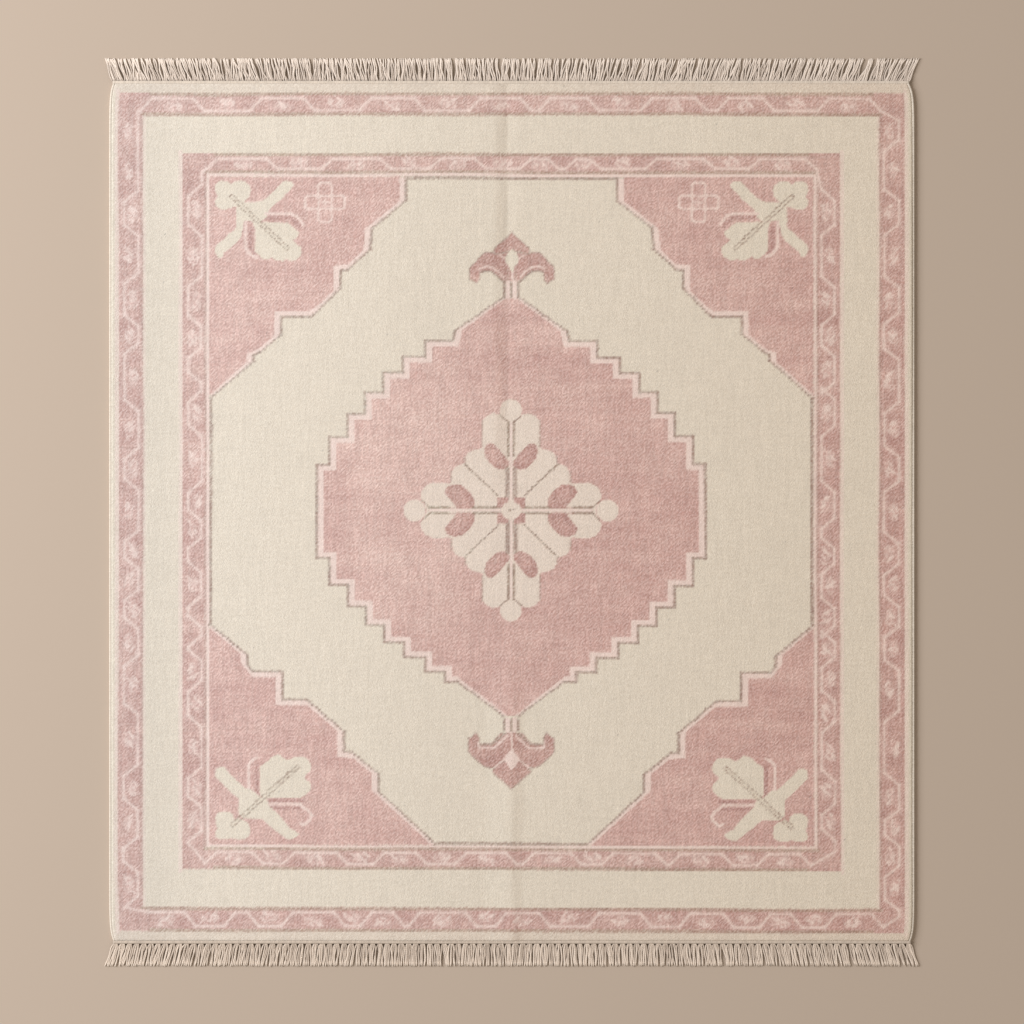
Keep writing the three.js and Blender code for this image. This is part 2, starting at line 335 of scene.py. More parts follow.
# The lines of a hand-knotted pattern wander a little, and its rows sag to the right at the front
U = CLOTH_U - PATTERN_SHIFT + 0.45 * soft_noise(SHAPE, (70, 90), 11)
V = CLOTH_V + 0.45 * soft_noise(SHAPE, (60, 80), 12)
V += 0.6 * (CLOTH_U / 200) * np.clip(-CLOTH_V / 60, 0, 1)
# Edges are ragged by a part of a knot, and thin lines are uneven
RAGGED = 0.22 * soft_noise(SHAPE, (1, 1), 13)
UNEVEN = 0.92 + 0.24 * soft_noise(SHAPE, (2.2, 2.2), 14)
# How sharply a knot takes one colour or the other
EDGE_SHARPNESS = 1.7
chart = np.empty((*SHAPE, 3))

# How far a knot's shade strays from its neighbours', in screen values of red, green and blue
GRAIN_IVORY = (5.5, 6.6, 7.6)
GRAIN_ROSE = (17, 22, 23)


def window(points, margin):
    """The part of the chart round some points, as slices of rows and columns."""
    (left, low), (right, high) = np.min(points, axis=0), np.max(points, axis=0)
    margin += 3
    first_row = int(max(low - margin + KNOTS_ALONG / 2, 0))
    last_row = int(max(high + margin + KNOTS_ALONG / 2, 0))
    first_column = int(max(left - margin + KNOTS_ACROSS / 2, 0))
    last_column = int(max(right + margin + KNOTS_ACROSS / 2, 0))
    return slice(first_row, last_row + 1), slice(first_column, last_column + 1)


def lay(part, cover, colour, strength=1.0):
    """Puts a colour on a part of the chart, where cover is above one half."""
    cover = (cover + RAGGED[part] - 0.5) * EDGE_SHARPNESS + 0.5
    cover = (np.clip(cover, 0, 1) * strength)[..., None]
    chart[part] = chart[part] * (1 - cover) + np.asarray(colour, float) * cover


def along_segment(u, v, start, end):
    """How far each knot is from a segment, in knots."""
    (x0, y0), (x1, y1) = start, end
    dx, dy = x1 - x0, y1 - y0
    length = math.hypot(dx, dy)
    along = np.clip(((u - x0) * dx + (v - y0) * dy) / length, 0, length)
    return np.hypot(u - x0 - dx * along / length, v - y0 - dy * along / length)


def fill(points, colour, strength=1.0):
    """Fills a closed outline."""
    part = window(points, 1)
    u, v = U[part], V[part]
    edge = np.full(u.shape, 1e9)
    inside = np.zeros(u.shape, bool)
    for start, end in zip(points, points[1:] + points[:1]):
        edge = np.minimum(edge, along_segment(u, v, start, end))
        (x0, y0), (x1, y1) = start, end
        if y0 != y1:
            crossing = x0 + (v - y0) * (x1 - x0) / (y1 - y0)
            inside ^= ((y0 > v) != (y1 > v)) & (u < crossing)
    lay(part, 0.5 + np.where(inside, edge, -edge), colour, strength)


def stroke(points, width, colour, strength=1.0, dotted=0):
    """Draws a line from point to point. Dotted, its slanted parts are single knots in a row, so
    many knots apart."""
    for start, end in zip(points, points[1:]):
        slanted = min(abs(end[0] - start[0]), abs(end[1] - start[1])) > 4
        if dotted and slanted:
            dots(start, end, width, colour, strength, dotted)
            continue
        part = window([start, end], width)
        away = along_segment(U[part], V[part], start, end)
        lay(part, 0.5 + width / 2 - away, colour, strength * UNEVEN[part].clip(0, 1))


def dots(start, end, width, colour, strength, pitch):
    """A slanted line, one knot or two at a time, with a faint line under them."""
    part = window([start, end], width)
    away = along_segment(U[part], V[part], start, end)
    lay(part, 0.5 + width / 2 - away, colour, strength * 0.3)
    length = math.hypot(end[0] - start[0], end[1] - start[1])
    count = max(round(length / pitch), 1)
    for i in range(count + 1):
        u = round(start[0] + (end[0] - start[0]) * i / count)
        v = round(start[1] + (end[1] - start[1]) * i / count)
        part = window([(u, v)], width)
        away = np.maximum(np.abs(U[part] - u) * 0.8, np.abs(V[part] - v))
        lay(part, 0.5 + width * 0.52 - away, colour, strength)


def ellipse(centre, half_sizes, angle, colour, strength=1.0):
    part = window([centre], max(half_sizes))
    u, v = U[part] - centre[0], V[part] - centre[1]
    across = u * math.cos(angle) + v * math.sin(angle)
    up = v * math.cos(angle) - u * math.sin(angle)
    away = np.hypot(across / half_sizes[0], up / half_sizes[1])
    lay(part, 0.5 + (1 - away) * min(half_sizes), colour, strength)


def depth_in(box):
    """How deep each knot lies in a rectangle, in knots."""
    (left, bottom), (right, top) = box
    return np.minimum(np.minimum(U - left, right - U), np.minimum(V - bottom, top - V))


def frame(outside, inside, colour, strength=1.0):
    """Fills the ring between two rectangles."""
    lay(..., 0.5 + np.minimum(depth_in(outside), -depth_in(inside)), colour, strength)


def grown(box, by):
    (left, bottom), (right, top) = box
    return (left - by, bottom - by), (right + by, top + by)


def upright_sides(box):
    (left, bottom), (right, top) = box
    return [(left, bottom), (left, top)], [(right, bottom), (right, top)]


def level_sides(box):
    (left, bottom), (right, top) = box
    return [(left, bottom), (right, bottom)], [(left, top), (right, top)]


def mirrored(points):
    return [(-x, y) for x, y in points]


def both(points):
    """An outline or line on the right, and its mirror image on the left."""
    return [points, mirrored(points)]


def inset(points, side):
    """The edge of the light band beside a stepped line. side is 1 for its left, -1 for its right."""
    lines = []
    for (x0, y0), (x1, y1) in zip(points, points[1:]):
        dx, dy = x1 - x0, y1 - y0
        length = math.hypot(dx, dy)
        width = BAND_SLANTED
        if abs(dx) < 2:
            width = BAND_UPRIGHT
        if abs(dy) < 2:
            width = BAND_LEVEL
        normal = (-dy / length * side, dx / length * side)
        lines.append((normal, normal[0] * x0 + normal[1] * y0 + width, (x0, y0), (x1, y1)))
    moved = []
    first, last = lines[0], lines[-1]
    moved.append(step_off(first, first[2]))
    for (n0, c0, _, _), (n1, c1, _, _) in zip(lines, lines[1:]):
        cross = n0[0] * n1[1] - n0[1] * n1[0]
        if abs(cross) > 0.05:
            moved.append(((c0 * n1[1] - c1 * n0[1]) / cross, (n0[0] * c1 - n1[0] * c0) / cross))
    moved.append(step_off(last, last[3]))
    return moved


def step_off(line, point):
    normal, offset = line[:2]
    short = offset - normal[0] * point[0] - normal[1] * point[1]
    return (point[0] + normal[0] * short, point[1] + normal[1] * short)


LINE_UPRIGHT = 2.1
LINE_LEVEL = 1.7
LINE_SLANTED = 1.5
DOT_PITCH = 3.0


def stepped_line(points, colour):
    """A dark outline: thicker where it runs upright, dotted where it slants."""
    for start, end in zip(points, points[1:]):
        width = LINE_SLANTED
        if abs(start[0] - end[0]) < 2:
            width = LINE_UPRIGHT
        if abs(start[1] - end[1]) < 2:
            width = LINE_LEVEL
        stroke([start, end], width, colour, 0.95, dotted=DOT_PITCH)


# The pattern, part by part

# Lines of a border: widths in knots, and for some how strongly they cover the rose
SOFT_SIDE = 2.6
END_LINE = 2.2
INNER_SIDE_LINE, INNER_SIDE_STRENGTH = 1.7, 0.28
WAVE_GLOW, WAVE_GLOW_STRENGTH = 4.6, 0.16
WAVE_LINE, WAVE_LINE_STRENGTH = 1.7, 0.88
# How far the outer end lines stop short of a border's corners
END_LINE_SHORT = 22
# How far the wavy line keeps from the border's outer and inner edges
WAVE_FROM_OUTSIDE = 4.1
WAVE_FROM_INSIDE = 3.7


def wavy_line(straights, limit, levels):
    """The corners of one side of a wavy line, as (along, across): its straights at the first
    level, and turns to the second level where there is room."""
    path = []
    for start, end in straights:
        if start - TURN_LENGTH > -limit:
            path.append((start - TURN_LENGTH, levels[1]))
        path += [(start, levels[0]), (end, levels[0])]
        if end + TURN_LENGTH < limit:
            path.append((end + TURN_LENGTH, levels[1]))
    return path


def blossom(place, turn, rng):
    """A small mottled blossom in a bay of a border: a pale patch under slanted light strokes.
    turn changes (along, across) to a place on the chart."""
    along, across = place
    half_sizes = [abs(size) for size in turn(rng.uniform(5.2, 6.8), rng.uniform(3.0, 3.8))]
    ellipse(turn(along, across), half_sizes, 0, BLUSH, 0.38)
    lean = rng.choice([-1, 1])
    for _ in range(9):
        x = along + rng.uniform(-5.2, 5.2)
        y = across + rng.uniform(-2.6, 2.6)
        reach = rng.uniform(0.8, 1.9)
        slope = lean * rng.uniform(0.6, 1.3)
        line = [turn(x - reach, y - reach * slope), turn(x + reach, y + reach * slope)]
        stroke(line, rng.uniform(1.0, 1.7), BLUSH, rng.uniform(0.6, 1.0))
    for _ in range(4):
        spot = turn(along + rng.uniform(-4.5, 4.5), across + rng.uniform(-2.8, 2.8))
        ellipse(spot, (1.1, 0.9), rng.uniform(0, 3), ROSE, 0.8)


def bay_places(start, end):
    """Where blossoms go along a straight: one in its middle, or several on a long one."""
    count = max(1, round((end - start) / 34))
    return [start + (i + 0.5) * (end - start) / count for i in range(count)]


def border_side(straights, limit, levels, turn, rng):
    """Paints the blossoms of one side of a border, and gives back its wavy line."""
    path = wavy_line(straights, limit, levels)
    middle = sum(levels) / 2
    for start, end in zip(path, path[1:]):
        if start[1] == end[1] and end[0] - start[0] > 9:
            across = middle * 1.3 - start[1] * 0.3
            for along in bay_places(start[0], end[0]):
                blossom((along, across), turn, rng)
    return [turn(*point) for point in path]


def paint_border(outside, inside, sides, rng):
    """A rose band with fine dark edges at its ends and soft light ones at its sides. sides holds
    the wavy line's straights: top, bottom, left and right."""
    frame(outside, inside, BORDER_ROSE)
    for box, blend in ((grown(outside, 1.2), 0.7), (grown(inside, -0.6), 0.4)):
        for line in upright_sides(box):
            stroke(line, SOFT_SIDE, BLUSH, blend)
    end_lines = ((grown(outside, -1.0), END_LINE_SHORT, 0.9), (grown(inside, 1.1), 0, 0.8))
    for box, short, blend in end_lines:
        for (left, y), (right, _) in level_sides(box):
            stroke([(left + short, y), (right - short, y)], END_LINE, BORDER_TAUPE, blend)
    for line in upright_sides(grown(inside, 1)):
        stroke(line, INNER_SIDE_LINE, TAUPE, INNER_SIDE_STRENGTH)
    top, bottom, left, right = sides
    (out_left, out_bottom), (out_right, out_top) = grown(outside, -WAVE_FROM_OUTSIDE)
    (in_left, in_bottom), (in_right, in_top) = grown(inside, WAVE_FROM_INSIDE)
    limit, end_limit = inside[1][0] + 5, inside[1][1] + 4.4
    loop = border_side(top, limit, (out_top, in_top), lambda a, b: (a, b), rng)
    loop += border_side(right, end_limit, (out_right, in_right), lambda a, b: (b, a), rng)[::-1]
    loop += border_side(bottom, limit, (in_bottom, out_bottom), lambda a, b: (a, b), rng)[::-1]
    loop += border_side(left, end_limit, (in_left, out_left), lambda a, b: (b, a), rng)
    stroke(loop + loop[:1], WAVE_GLOW, BLUSH, WAVE_GLOW_STRENGTH)
    stroke(loop + loop[:1], WAVE_LINE, BLUSH, WAVE_LINE_STRENGTH)


def paint_corner_piece(edge, top):
    """A rose corner piece, on both sides: its light band, its rose inside and its outline."""
    side = LIGHT_LINE_INSIDE[1][0]
    level = LIGHT_LINE_INSIDE[1 if top else 0][1]
    corner = (side, level)
    inner = inset(edge, 1 if top else -1)
    inner[0] = (inner[0][0] + (0 if top else 1.5), level)
    inner[-1] = (side, inner[-1][1])
    for outline in both(edge + [corner]):
        fill(outline, BLUSH)
    for outline in both(inner + [corner]):
        fill(outline, ROSE)
    for line in both(edge):
        stepped_line(line, TAUPE)


def paint_field_frame():
    """The fine light line round the field, and the dark one inside it."""
    frame(INNER_BORDER_INSIDE, LIGHT_LINE_INSIDE, BLUSH)
    frame(LIGHT_LINE_INSIDE, grown(LIGHT_LINE_INSIDE, -1.6), TAUPE, 0.3)
    side_top, side_bottom = TOP_CORNER[-1][1], BOTTOM_CORNER[-1][1]
    end_top, end_bottom = TOP_CORNER[0][0], BOTTOM_CORNER[0][0]
    (left, bottom), (right, top) = grown(LIGHT_LINE_INSIDE, -1.15)
    for x in (left, right):
        stroke([(x, side_bottom), (x, side_top)], 2.2, TAUPE, 0.95)
    stroke([(-end_top, top), (end_top, top)], 2.0, TAUPE, 0.95)
    stroke([(-end_bottom, bottom), (end_bottom, bottom)], 2.0, TAUPE, 0.95)


def paint_medallion():
    left = [(x - 0.5, y) for x, y in mirrored(MEDALLION)]
    fill(MEDALLION + left[::-1], BLUSH)
    inner = inset(MEDALLION, -1)
    inner[0] = (2.4, 152.5)
    inner[-1] = (2.4, -144)
    fill(inner + [(x - 0.5, y) for x, y in mirrored(inner)][::-1], ROSE)
    for line in (MEDALLION, left):
        stepped_line(line, TAUPE)


def paint_pendants():
    pendants = (
        (TOP_ROOF, TOP_HOOK, TOP_DROP, IVORY),
        (BOTTOM_ROOF, BOTTOM_HOOK, BOTTOM_DROP, BLUSH),
    )
    for roof, hook, drop, drop_colour in pendants:
        for outline in both(hook) + both(roof):
            fill(outline, MAUVE, 0.95)
            stroke(outline, 1.1, TAUPE, 0.55, dotted=2)
        fill(drop, drop_colour)
    # Stems: three dark lines with light ones between
    for low, high in ((152.5, 163.5), (-154.5, -146.5)):
        for x in (-2.6, 2.2):
            stroke([(x, low), (x, high)], 3.0, BLUSH)
        for x in (-5.2, -0.3, 4.8):
            stroke([(x, low), (x, high)], 1.8, TAUPE)
    for points, width, colour, strength in PENDANT_LINES:
        for line in both(points):
            stroke(line, width, colour, strength)
    # A light line down each stem, with dark ones beside the upper one
    stroke([(0.2, 170), (0.8, 163)], 1.6, BLUSH)
    for line in both([(2.6, 164), (2.8, 172)]):
        stroke(line, 0.9, TAUPE, 0.6)
    stroke([(0, -156), (0.5, -169)], 1.6, BLUSH)


def paint_flower():
    """The ivory flower: four arms of paired petals, four double leaves between them, and balls."""
    x0, y0 = FLOWER_CENTRE

    def place(points, sx=1, sy=1):
        return [(x0 + x * sx, y0 + y * sy) for x, y in points]

    quarters = [(1, 1), (1, -1), (-1, -1), (-1, 1)]
    for sx, sy in quarters:
        fill(place(FLOWER_QUARTER + [(0, 0)], sx, sy), FLOWER_IVORY)
        for edge in FLOWER_EDGES:
            stroke(place(edge, sx, sy), 1.1, TAUPE, 0.7)
    for x, y in FLOWER_BALLS:
        ellipse((x0 + x, y0 + y), (BALL_RADIUS, BALL_RADIUS), 0, FLOWER_IVORY)
    for sx, sy in quarters:
        for leaf in (FLOWER_UPRIGHT_LEAF, FLOWER_LEVEL_LEAF):
            fill(place(leaf, sx, sy), MAUVE)
            middle = np.mean(leaf, axis=0).tolist()
            spot = place([middle], sx, sy)[0]
            ellipse(spot, (6.5, 3.4), math.pi / 4 * sx * sy, ROSE, 0.55)
        for points, width, colour, strength, pitch in FLOWER_LINES:
            stroke(place(points, sx, sy), width, colour, strength, pitch)
    for line in ([(0, 62), (0, 8)], [(0, -62), (0, -8)], [(57, 0), (8, 0)], [(-57, 0), (-8, 0)]):
        stroke(place(line), 1.9, BLUSH, 0.9)
    for sx, sy in quarters:
        fill(place([(1.8, 9.2), (9.8, 9.2), (9.8, 1.7), (1.8, 1.7)], sx, sy), MAUVE)
    ellipse((x0, y0), (7.1, 6.3), 0, FLOWER_IVORY)
    for x in (-0.8, 1.6):
        ellipse((x0 + x, y0 + 0.5), (0.8, 0.7), 0, DARK_TAUPE, 0.9)


# Widths of a spray's curls, of the shade beside them and of the stem's two lines, and how far
# those lie from the stem's middle
CURL = 2.1
CURL_SHADE = 2.8
STEM_LINE = 0.9
STEM_HALF_WIDTH = 1.2


def paint_sprays():
    sprays = (
        (TOP_BODY, TOP_LEAF, TOP_TREFOIL, TOP_STEM, TOP_CURLS, TOP_CURL_SHADES),
        (BOTTOM_BODY, BOTTOM_LEAF, BOTTOM_TREFOIL, BOTTOM_STEM, BOTTOM_CURLS, BOTTOM_CURL_SHADES),
    )
    for body, leaf, trefoil, stem, curls, shades in sprays:
        for shade in shades:
            for line in both(shade):
                stroke(line, CURL_SHADE, MAUVE_SHADE, 0.85)
        for outline in both(body) + both(leaf) + both(trefoil):
            fill(outline, IVORY)
        for curl in curls:
            for line in both(curl):
                stroke(line, CURL, BLUSH, 0.95)
        (x0, y0), (x1, y1) = stem
        length = math.hypot(x1 - x0, y1 - y0)
        off = (-(y1 - y0) / length * STEM_HALF_WIDTH, (x1 - x0) / length * STEM_HALF_WIDTH)
        for sign in (-1, 1):
            start = (x0 + off[0] * sign, y0 + off[1] * sign)
            end = (x1 + off[0] * sign, y1 + off[1] * sign)
            for line in both([start, end]):
                stroke(line, STEM_LINE, DARK_TAUPE, 0.7, dotted=2)


def paint_cross_flowers():
    """A small four-lobed flower in outline."""
    x0, y0 = CROSS_CENTRE
    lobes = [(0, CROSS_LOBE), (CROSS_LOBE, 0), (0, -CROSS_LOBE), (-CROSS_LOBE, 0)]
    for side in (1, -1):
        for x, y in lobes:
            rounded_square((side * (x0 + x), y0 + y), CROSS_LOBE_HALF, 1.7)
        stroke([(side * x0 - 3, y0), (side * x0 + 3, y0)], 1.2, BLUSH, 0.8)
        stroke([(side * x0, y0 - 3), (side * x0, y0 + 3)], 1.2, BLUSH, 0.8)


def rounded_square(centre, half, width):
    """A light outline of a square with cut corners."""
    x, y = centre
    cut = half * 0.3
    outline = [
        (x - half + cut, y - half), (x + half - cut, y - half), (x + half, y - half + cut),
        (x + half, y + half - cut), (x + half - cut, y + half), (x - half + cut, y + half),
        (x - half, y + half - cut), (x - half, y - half + cut),
    ]
    stroke(outline + outline[:1], width, BLUSH, 0.9)


def paint_chart():
    rng = np.random.default_rng(5)
    chart[:] = IVORY
    lay(..., 0.5 + OUTER_BORDER[0][0] - U, LEFT_IVORY)
    for past_end in (V - OUTER_BORDER[1][1], OUTER_BORDER[0][1] - V):
        lay(..., 0.5 + past_end, END_IVORY)
    paint_border(
        OUTER_BORDER,
        OUTER_BORDER_INSIDE,
        (OUTER_TOP_ABOVE, OUTER_BOTTOM_ABOVE, OUTER_LEFT_INSIDE, OUTER_RIGHT_OUTSIDE),
        rng,
    )
    paint_border(
        INNER_BORDER,
        INNER_BORDER_INSIDE,
        (INNER_TOP_ABOVE, INNER_BOTTOM_ABOVE, INNER_LEFT_INSIDE, INNER_RIGHT_OUTSIDE),
        rng,
    )
    paint_field_frame()
    paint_corner_piece(TOP_CORNER, True)
    paint_corner_piece(BOTTOM_CORNER, False)
    paint_medallion()
    paint_pendants()
    paint_flower()
    paint_sprays()
    paint_cross_flowers()


def fine_grain(seed):
    """Noise from knot to knot, with nothing broader in it."""
    white = np.random.default_rng(seed).uniform(-1, 1, (ROWS + 2, COLUMNS + 2))
    beside = white[:-2, 1:-1] + white[2:, 1:-1] + white[1:-1, :-2] + white[1:-1, 2:]
    return white[1:-1, 1:-1] - 0.15 * beside


# How strongly bands, patches, clumps of a few knots and the worn place change the rose's depth
DYE_BANDS = 0.022
DYE_PATCHES = 0.018
DYE_CLUMPS = 0.012
DYE_WORN = 0.030
# How red, green and blue answer to the dye, to its fading towards the back left, to painted light
# that is cooler on the left and warmer towards the right, and to the painted shade and light along
# the fold mark
CHANNELS = [
    (1.0, 0.05, 0.0, 0.8),
    (1.6, 0.11, 0.025, 1.0),
    (1.55, 0.11, 0.055, 1.15),
]
# Odd knots of darker and lighter fibre: count, darkest, lightest
SPECKS = [
    (60, 0.80, 0.92),
    (300, 1.03, 1.07),
]
# Painted shade and light along the fold mark, on the crease's shaded and lit flanks: 1 for the back
# half and -1 for the front one, how much lighter, and where each starts, is full, fades and ends, in
# knots from the mark
FOLD_LINES = [
    (1, -0.035, (-14, -8, -3.5, -1.8)),
    (-1, -0.030, (0, 4, 7, 12)),
    (-1, 0.020, (-20, -14, -5, 0)),
]


def weathered_with_painted_light():
    """The chart's colours after dye lots, wear, the pile's own grain, painted light that is cooler on
    the left and warmer towards the right, and painted shade and light along the fold mark, as screen
    values.
    """
    rosy = np.clip((IVORY[1] - chart[..., 1]) / (IVORY[1] - ROSE[1]), 0, 1.3)
    bands = soft_noise((ROWS, 3), (9, 40), 21)[:, :1] * 0.5
    bands = bands + soft_noise(SHAPE, (7, 160), 22) * 0.8 + soft_noise(SHAPE, (26, 110), 23) * 0.4
    bands = bands + soft_noise(SHAPE, (3, 60), 30) * 0.5
    patches = 0.8 * soft_noise(SHAPE, (16, 18), 24) + 0.7 * soft_noise(SHAPE, (6, 7), 25)
    clumps = soft_noise(SHAPE, (2.3, 2.0), 27)
    streaks = soft_noise(SHAPE, (1, 9), 28) + 1.5 * soft_noise(SHAPE, (10, 1), 29)
    worn = bump(CLOTH_U, -140, -95, -60, 10) * bump(CLOTH_V, -115, -60, 60, 115)
    dye = DYE_BANDS * bands + DYE_PATCHES * patches + DYE_CLUMPS * clumps + DYE_WORN * worn
    value = 1 + 0.003 * patches + 0.002 * clumps + (0.010 + 0.012 * rosy) * streaks
    value += 0.014 * bump(CLOTH_U, -235, -200, -130, -40)
    value -= 0.02 * np.clip((-235 - CLOTH_U) / 20, 0, 1)
    value *= specks()
    slope = 0.5 + 0.42 * CLOTH_U / KNOTS_ACROSS - 0.25 * CLOTH_V / KNOTS_ALONG
    depth = np.clip(slope + 0.06 * bands, 0, 1) - 0.5
    # Painted light: the cloth is painted cooler on the left and warmer and darker towards the right,
    # away from the window
    painted_warmth = CLOTH_U / KNOTS_ACROSS
    # Painted shade and light along the fold mark
    fold_light_and_shade = fold_shade()
    shades = [
        value * (1 + rosy * (strength * dye - fading * depth) - warmth_share * painted_warmth + fold_share * fold_light_and_shade)
        for strength, fading, warmth_share, fold_share in CHANNELS
    ]
    calm, lively = np.array(GRAIN_IVORY), np.array(GRAIN_ROSE)
    grain = fine_grain(26)[..., None] * (calm + (lively - calm) * rosy[..., None])
    return chart * np.stack(shades, axis=-1) + grain


def specks():
    rng = np.random.default_rng(61)
    factor = np.ones(SHAPE)
    for count, low, high in SPECKS:
        row, column = rng.integers(1, ROWS - 1, count), rng.integers(1, COLUMNS - 1, count)
        factor[row, column] = rng.uniform(low, high, count)
    return factor


def bump(value, start, full, fade, end):
    """0 up to start, 1 from full to fade, and 0 again from end."""
    return ease(np.clip((value - start) / (full - start), 0, 1)) * ease(
        np.clip((end - value) / (end - fade), 0, 1)
    )


def fold_shade():
    """Painted shade and light along the fold mark: how much lighter or darker the pile is painted on
    the crease's shaded and lit flanks.
    """
    waver = CLOTH_U + 1.06 + 1.2 * soft_noise(SHAPE, (24, 300), 62)
    presence = {1: np.clip(CLOTH_V / 60, 0, 1), -1: np.clip((-CLOTH_V - 70) / 60, 0, 1)}
    uneven = 1 + 0.35 * soft_noise(SHAPE, (30, 300), 63)
    return uneven * sum(presence[end] * shade * bump(waver, *span) for end, shade, span in FOLD_LINES)


def to_linear(colour):
    """Screen values from 0 to 255 as linear light."""
    share = np.clip(np.asarray(colour, float) / 255, 0, 1)
    return np.where(share <= 0.04045, share / 12.92, ((share + 0.055) / 1.055) ** 2.4)


# The shape of the cloth


def reach_across(y, side):
    """How far the cloth reaches from its middle to one side: -1 is left, 1 is right."""
    to_end = HALF_LENGTH - np.abs(y)
    back, front = CORNER_INSET[side]
    return HALF_WIDTH - np.where(y > 0, back, front) * np.exp(-to_end / CORNER_REACH)


def along_rug(values, y):
    """A value that runs evenly from the front end to the back end."""
    front, back = values
    return front + (back - front) * (y + HALF_LENGTH) / (2 * HALF_LENGTH)


def edge_drop(inward):
    return EDGE_DROP * np.clip(1 - inward / EDGE_ROLL, 0, 1) ** 2


def pile_height(x, y):
    from_crease = np.clip(np.abs(x - along_rug(CREASE_X, y)) / CREASE_HALF_WIDTH, 0, 1)
    height = THICKNESS - along_rug(CREASE_DEPTH, y) * (1 - from_crease) ** 2
    for rise, along_x, along_y, shift in WAVES:
        height = height + rise * np.sin(2 * math.pi * (x / along_x + y / along_y) + shift)
    reach = np.where(x < 0, reach_across(y, -1), reach_across(y, 1))
    sideways = edge_drop(reach - np.abs(x))
    lengthways = edge_drop(HALF_LENGTH - np.abs(y))
    return height - np.maximum(sideways, lengthways)


def cloth_grid(u, v):
    """Knot counts to metres. Where a corner draws in, the knots near the side crowd together."""
    y = v * KNOT
    reach = np.where(u < 0, reach_across(y, -1), reach_across(y, 1))
    give = np.clip(1 - (KNOTS_ACROSS / 2 - np.abs(u)) / CORNER_GIVE, 0, 1) ** 2
    x = u * KNOT - np.sign(u) * (HALF_WIDTH - reach) * give
    return x, y


def finish_mesh(mesh, name, material, smooth=True):
    mesh.validate()
    if smooth:
        mesh.shade_smooth()
    else:
        mesh.shade_flat()
    mesh.materials.append(material)
    obj = bpy.data.objects.new(name, mesh)
    bpy.context.scene.collection.objects.link(obj)
    return obj


def grid_faces(rows, columns):
    """Quads of a grid whose points are numbered row by row."""
    first = np.arange(rows - 1)[:, None] * columns + np.arange(columns - 1)
    first = first.ravel()
    return np.stack([first, first + 1, first + columns + 1, first + columns], axis=1)


def grid_mesh(name, points, faces):
    """A mesh straight from arrays of points and quads."""
    mesh = bpy.data.meshes.new(name)
    mesh.vertices.add(len(points))
    mesh.vertices.foreach_set("co", np.ascontiguousarray(points, np.float32).ravel())
    mesh.loops.add(faces.size)
    mesh.loops.foreach_set("vertex_index", faces.ravel().astype(np.int32))
    mesh.polygons.add(len(faces))
    mesh.polygons.foreach_set("loop_start", np.arange(0, faces.size, 4, dtype=np.int32))
    mesh.update(calc_edges=True)
    return mesh


def colour_points(mesh, colours):
    """Gives each point its colour, in linear light."""
    layer = mesh.color_attributes.new("yarn", "FLOAT_COLOR", "POINT")
    rgba = np.ones((len(colours), 4), np.float32)
    rgba[:, :3] = colours
    layer.data.foreach_set("color", rgba.ravel())


def give_uv(mesh, name, uv):
    """A UV map from one (u, v) for each face corner."""
    layer = mesh.uv_layers.new(name=name)
    layer.data.foreach_set("uv", np.ascontiguousarray(uv, np.float32).ravel())


PILE_STRIPS = 5
SKIRT_FOOT = 0.0020
# Unevenness of the cut pile: height, cell in rows and columns, seed
PILE_UNEVENNESS = [
    (0.00010, (1, 1), 31),
    (0.00006, (5, 4), 32),
    (0.00008, (9, 1), 33),
]


def knit_skirt(values, mode):
    """Repeats the outermost rows and columns of a grid once more, for the pile's outer face."""
    width = [(1, 1), (1, 1)] + [(0, 0)] * (values.ndim - 2)
    return np.pad(values, width, mode=mode)


def build_pile(colours, material):
    """The pile, in strips of rows, each with one point for each knot and an outer face that
    reaches down to the ground."""
    x, y = cloth_grid(CLOTH_U, CLOTH_V)
    z = pile_height(x, y)
    for rise, cell, seed in PILE_UNEVENNESS:
        z = z + rise * soft_noise(SHAPE, cell, seed)
    points = knit_skirt(np.stack([x, y, z], axis=-1), "edge")
    points[[0, -1], :, 2] = SKIRT_FOOT
    points[:, [0, -1], 2] = SKIRT_FOOT
    shades = knit_skirt(colours, "edge")
    cuts = np.linspace(0, len(points) - 1, PILE_STRIPS + 1).astype(int)
    strips = []
    for number, (low, high) in enumerate(zip(cuts, cuts[1:]), start=1):
        part = points[low:high + 1]
        rows, columns = part.shape[:2]
        faces = grid_faces(rows, columns)
        mesh = grid_mesh(f"pile_rows_{number}", part.reshape(-1, 3), faces)
        colour_points(mesh, shades[low:high + 1].reshape(-1, 3))
        across, along = np.meshgrid(np.arange(columns) / (columns - 1), np.arange(rows) / (rows - 1))
        uv = np.stack([across, along], axis=-1).reshape(-1, 2) * 0.996 + 0.002
        give_uv(mesh, "OFBake", uv[faces.ravel()])
        piece = finish_mesh(mesh, f"pile_rows_{number}", material)
        outer = np.zeros((rows - 1, columns - 1), bool)
        outer[:, [0, -1]] = True
        outer[0] |= number == 1
        outer[-1] |= number == PILE_STRIPS
        mesh.polygons.foreach_set("use_smooth", ~outer.ravel())
        strips.append(piece)
    return strips


GROUND_STEP = 3


